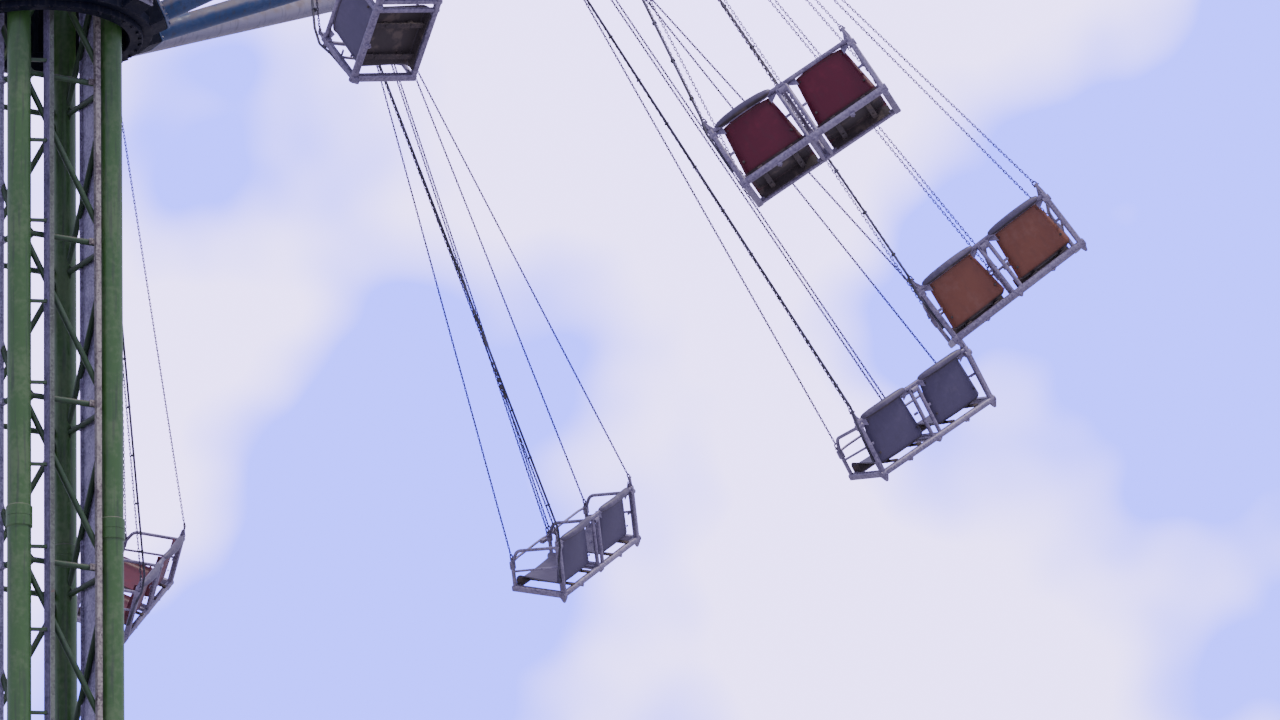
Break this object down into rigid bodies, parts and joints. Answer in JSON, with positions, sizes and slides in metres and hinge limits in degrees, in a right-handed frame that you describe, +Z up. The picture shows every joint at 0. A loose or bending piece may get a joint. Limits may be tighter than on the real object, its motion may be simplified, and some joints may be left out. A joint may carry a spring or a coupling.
{
  "type": "tower chair swing ride",
  "caption": "Tower swing ride: a lifting carriage with a turning crown of arms climbs a slim lattice tower, and double chairs fly on chains from the arm tips.",
  "frame": {"origin": "middle of the base plate's underside, on the ground", "axes": "+Z up the tower; +X to the right and +Y away from the viewer as in the picture"},
  "size_m": [16.2196, 16.3282, 28.5603],
  "materials": {
    "tower_green": "gloss paint, weathered",
    "galvanised": "dull zinc",
    "arm_blue": "gloss paint, dusty on top",
    "dark_steel": "dark paint",
    "chair_frame": "galvanised tube",
    "seat_red": "moulded shell, worn gloss",
    "seat_orange": "moulded shell, worn gloss",
    "seat_grey": "moulded shell, worn gloss"
  },
  "bodies": {
    "tower": {"base_frame": "tower_green", "tower_leg_1": "tower_green", "tower_leg_2": "tower_green", "tower_leg_3": "tower_green", "tower_leg_4": "tower_green", "lattice_side_1": "tower_green", "lattice_side_2": "tower_green", "lattice_side_3": "tower_green", "lattice_side_4": "tower_green", "guide_rail_1": "galvanised", "guide_rail_2": "galvanised", "cable_tray": "galvanised", "service_rail": "galvanised", "tower_head": "tower_green"},
    "carriage": {"carriage_frame": "dark_steel"},
    "crown": {"hub": "dark_steel", "arm_01": "arm_blue", "arm_02": "arm_blue", "arm_03": "arm_blue", "arm_04": "arm_blue", "arm_05": "arm_blue", "arm_06": "arm_blue", "arm_07": "arm_blue", "arm_08": "arm_blue", "arm_09": "arm_blue", "arm_10": "arm_blue", "arm_11": "arm_blue", "arm_12": "arm_blue"},
    "chair_01": {"chair_01_frame": "chair_frame", "chair_01_seats": "seat_grey"},
    "chair_02": {"chair_02_frame": "chair_frame", "chair_02_seats": "seat_grey"},
    "chair_03": {"chair_03_frame": "chair_frame", "chair_03_seats": "seat_red"},
    "chair_04": {"chair_04_frame": "chair_frame", "chair_04_seats": "seat_orange"},
    "chair_05": {"chair_05_frame": "chair_frame", "chair_05_seats": "seat_grey"},
    "chair_06": {"chair_06_frame": "chair_frame", "chair_06_seats": "seat_red"},
    "chair_07": {"chair_07_frame": "chair_frame", "chair_07_seats": "seat_orange"},
    "chair_08": {"chair_08_frame": "chair_frame", "chair_08_seats": "seat_grey"},
    "chair_09": {"chair_09_frame": "chair_frame", "chair_09_seats": "seat_red"},
    "chair_10": {"chair_10_frame": "chair_frame", "chair_10_seats": "seat_grey"},
    "chair_11": {"chair_11_frame": "chair_frame", "chair_11_seats": "seat_red"},
    "chair_12": {"chair_12_frame": "chair_frame", "chair_12_seats": "seat_orange"}
  },
  "joints": [
    {"name": "carriage_lift", "type": "slide", "parent": "tower", "child": "carriage", "axis": [0, 0, 1], "range_m": [-20.75, 1.2]},
    {"name": "crown_spin", "type": "hinge", "parent": "carriage", "child": "crown", "pos_m": [0, 0, 24.88], "axis": [0, 0, 1], "continuous": true},
    {"name": "chair_01_swing", "type": "hinge", "parent": "crown", "child": "chair_01", "pos_m": [3.98268, 2.07325, 26.45], "axis": [0.3681, -0.9298, 0], "range_deg": [-36.5, 8]},
    {"name": "chair_02_swing", "type": "hinge", "parent": "crown", "child": "chair_02", "pos_m": [2.41248, 3.78683, 26.45], "axis": [0.8508, -0.5255, 0], "range_deg": [-36.1, 8]},
    {"name": "chair_03_swing", "type": "hinge", "parent": "crown", "child": "chair_03", "pos_m": [0.19585, 4.48573, 26.45], "axis": [0.9997, 0.0262, 0], "range_deg": [-39.6, 8]},
    {"name": "chair_04_swing", "type": "hinge", "parent": "crown", "child": "chair_04", "pos_m": [-2.07325, 3.98268, 26.45], "axis": [0.8949, 0.4462, 0], "range_deg": [-37, 8]},
    {"name": "chair_05_swing", "type": "hinge", "parent": "crown", "child": "chair_05", "pos_m": [-3.78683, 2.41248, 26.45], "axis": [0.5664, 0.8241, 0], "range_deg": [-36, 8]},
    {"name": "chair_06_swing", "type": "hinge", "parent": "crown", "child": "chair_06", "pos_m": [-4.48573, 0.19585, 26.45], "axis": [0.0872, 0.9962, 0], "range_deg": [-38, 8]},
    {"name": "chair_07_swing", "type": "hinge", "parent": "crown", "child": "chair_07", "pos_m": [-3.98268, -2.07325, 26.45], "axis": [-0.4305, 0.9026, 0], "range_deg": [-36.5, 8]},
    {"name": "chair_08_swing", "type": "hinge", "parent": "crown", "child": "chair_08", "pos_m": [-2.41248, -3.78683, 26.45], "axis": [-0.8141, 0.5807, 0], "range_deg": [-37.5, 8]},
    {"name": "chair_09_swing", "type": "hinge", "parent": "crown", "child": "chair_09", "pos_m": [-0.19585, -4.48573, 26.45], "axis": [-0.9936, 0.1132, 0], "range_deg": [-36, 8]},
    {"name": "chair_10_swing", "type": "hinge", "parent": "crown", "child": "chair_10", "pos_m": [2.07325, -3.98268, 26.45], "axis": [-0.9494, -0.314, 0], "range_deg": [-36.6, 8]},
    {"name": "chair_11_swing", "type": "hinge", "parent": "crown", "child": "chair_11", "pos_m": [3.78683, -2.41248, 26.45], "axis": [-0.6587, -0.7524, 0], "range_deg": [-33.4, 8]},
    {"name": "chair_12_swing", "type": "hinge", "parent": "crown", "child": "chair_12", "pos_m": [4.48573, -0.19585, 26.45], "axis": [-0.1097, -0.994, 0], "range_deg": [-35.5, 8]}
  ]
}
